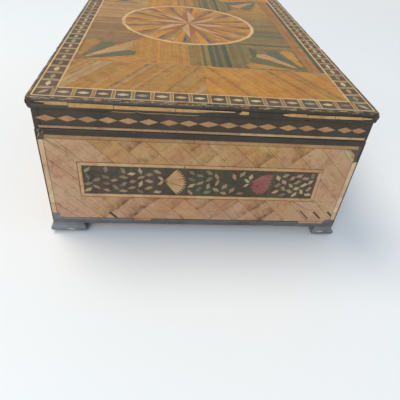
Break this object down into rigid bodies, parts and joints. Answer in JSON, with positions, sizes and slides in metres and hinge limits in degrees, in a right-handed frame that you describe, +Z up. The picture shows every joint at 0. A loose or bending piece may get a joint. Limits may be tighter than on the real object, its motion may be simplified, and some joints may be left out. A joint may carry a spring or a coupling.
{
  "type": "ditty box",
  "caption": "Low rectangular keepsake box with a hinged lid and block feet, dressed in straw parquetry with inlaid flower panels; holds papers and small things.",
  "frame": {"origin": "on the floor under the middle of the box", "axes": "+X from the front to the hinge side, +Y along the hinge side towards the left end, +Z up"},
  "size_m": [0.204, 0.324, 0.1012],
  "materials": {
    "stained_board": "satin",
    "pine": "matte",
    "light_straw": "satin",
    "wall_straw": "satin",
    "band_straw": "satin",
    "dark_straw": "satin",
    "flower_straw": "satin",
    "green_straw": "satin",
    "field_straw": "satin",
    "star_straw": "satin",
    "lining_paper": "matte",
    "iron": "matte",
    "brass": "satin"
  },
  "bodies": {
    "box": {"bottom_board": "stained_board", "front_board": "pine", "back_board": "pine", "left_end_board": "pine", "right_end_board": "pine", "bottom_nails": "iron", "foot_front_left": "stained_board", "foot_front_right": "stained_board", "foot_back_left": "stained_board", "foot_back_right": "stained_board", "rim_bands": "stained_board", "rim_lines": "light_straw", "base_lines": "light_straw", "corner_lines": "stained_board", "corner_stringing": "light_straw", "straw_front": "wall_straw", "straw_back": "wall_straw", "straw_left": "wall_straw", "straw_right": "wall_straw", "panel_frames": "light_straw", "panel_grounds": "dark_straw", "flowers_front": "flower_straw", "flowers_back": "flower_straw", "flowers_left": "flower_straw", "flowers_right": "flower_straw", "wall_lining": "lining_paper", "floor_lining": "lining_paper", "left_hinge_body_leaf": "brass", "left_hinge_pin": "iron", "right_hinge_body_leaf": "brass", "right_hinge_pin": "iron", "body_screws": "brass"},
    "lid": {"lid_board": "pine", "lid_rail_front": "stained_board", "lid_rail_back": "stained_board", "lid_rail_left": "stained_board", "lid_rail_right": "stained_board", "lid_edge_front": "stained_board", "lid_edge_back": "stained_board", "lid_edge_left": "stained_board", "lid_edge_right": "stained_board", "edge_stringing": "light_straw", "frieze_lozenges": "light_straw", "frieze_lines": "light_straw", "lid_lining": "lining_paper", "lid_outer_line": "light_straw", "lid_inner_line": "light_straw", "border_ground": "dark_straw", "border_dividers": "light_straw", "border_lozenges": "flower_straw", "straw_band_left": "band_straw", "straw_band_right": "band_straw", "picture_ground": "field_straw", "picture_lines": "light_straw", "green_strip": "green_straw", "plain_strip": "band_straw", "picture_inlay": "star_straw", "left_hinge_lid_leaf": "brass", "right_hinge_lid_leaf": "brass", "lid_screws": "brass"}
  },
  "joints": [
    {"name": "lid_hinge", "type": "hinge", "parent": "box", "child": "lid", "pos_m": [0.1, 0, 0.0815], "axis": [0, 1, 0], "range_deg": [0, 105]}
  ]
}
